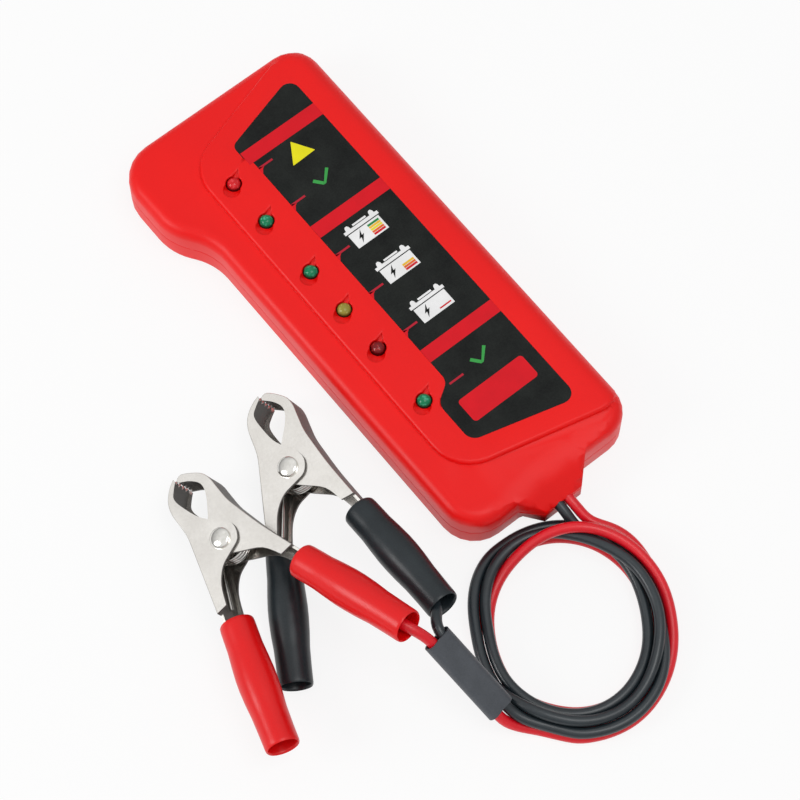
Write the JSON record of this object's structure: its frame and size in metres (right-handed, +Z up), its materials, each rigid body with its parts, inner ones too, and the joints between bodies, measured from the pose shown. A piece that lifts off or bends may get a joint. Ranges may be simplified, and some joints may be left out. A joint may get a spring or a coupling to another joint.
{
  "type": "battery tester",
  "caption": "Hand-held car battery and alternator tester with indicator lamps on a raised face and two coiled leads that end in spring clips.",
  "frame": {"origin": "on the surface it rests on, under the middle of the case's length and width", "axes": "+Y towards the case's wide end, +Z up out of the face, +X to the right of the label"},
  "size_m": [0.1516, 0.2347, 0.0381],
  "materials": {
    "case_red": "moulded red plastic, satin face and glossy edges",
    "label_film": "printed film with a fine texture",
    "lens_red": "clear tinted epoxy lens",
    "lens_green": "clear tinted epoxy lens",
    "lens_amber": "clear tinted epoxy lens",
    "lens_dark_red": "clear tinted epoxy lens",
    "board": "glass-fibre board with green solder mask",
    "chip": "moulded epoxy",
    "resistor": "lacquered",
    "capacitor": "plastic sleeve",
    "diode": "moulded epoxy",
    "solder": "bright solder",
    "screw_steel": "zinc plated",
    "clamp_plastic": "moulded",
    "black_vinyl": "soft vinyl, satin",
    "red_vinyl": "soft vinyl, satin",
    "sleeve_vinyl": "soft vinyl, matt",
    "clip_steel": "bright zinc or nickel plate",
    "rivet_steel": "bright plated",
    "spring_steel": "spring wire",
    "black_boot": "dipped soft vinyl, satin",
    "red_boot": "dipped soft vinyl, satin",
    "crimp_brass": "pressed"
  },
  "bodies": {
    "root": {"front_shell": "case_red", "rear_shell": "case_red", "face_label": "label_film", "lamp_alternator_fault": "lens_red", "lamp_alternator_ok": "lens_green", "lamp_battery_good": "lens_green", "lamp_battery_fair": "lens_amber", "lamp_battery_low": "lens_dark_red", "lamp_start_ok": "lens_green", "circuit_board": "board", "comparator_chip": "chip", "resistors": "resistor", "capacitors": "capacitor", "reverse_diode": "diode", "solder_joints": "solder", "board_screws": "screw_steel", "case_screws": "screw_steel", "cord_clamp": "clamp_plastic", "cord_clamp_screws": "screw_steel", "black_lead": "black_vinyl", "red_lead": "red_vinyl", "lead_coil": "black_vinyl", "lead_sleeve": "sleeve_vinyl", "black_clip_wire_lever": "clip_steel", "black_clip_rivet": "rivet_steel", "black_clip_spring": "spring_steel", "black_clip_wire_boot": "black_boot", "black_clip_crimp": "crimp_brass", "red_clip_wire_lever": "clip_steel", "red_clip_rivet": "rivet_steel", "red_clip_spring": "spring_steel", "red_clip_wire_boot": "red_boot", "red_clip_crimp": "crimp_brass"},
    "black_clip_jaw": {"black_clip_free_lever": "clip_steel", "black_clip_free_boot": "black_boot"},
    "red_clip_jaw": {"red_clip_free_lever": "clip_steel", "red_clip_free_boot": "red_boot"}
  },
  "joints": [
    {"name": "black_clip_hinge", "type": "hinge", "parent": "root", "child": "black_clip_jaw", "pos_m": [-0.0538, -0.029, 0.0101], "axis": [-0.3365, 0.1793, 0.9245], "range_deg": [0, 28], "stiffness_Nm_per_rad": 0.25, "springref_deg": -17.19, "deforming": ["black_clip_spring"]},
    {"name": "red_clip_hinge", "type": "hinge", "parent": "root", "child": "red_clip_jaw", "pos_m": [-0.0836, -0.0353, 0.0125], "axis": [-0.3566, 0.1981, 0.913], "range_deg": [0, 28], "stiffness_Nm_per_rad": 0.25, "springref_deg": -17.19, "deforming": ["red_clip_spring"]}
  ]
}
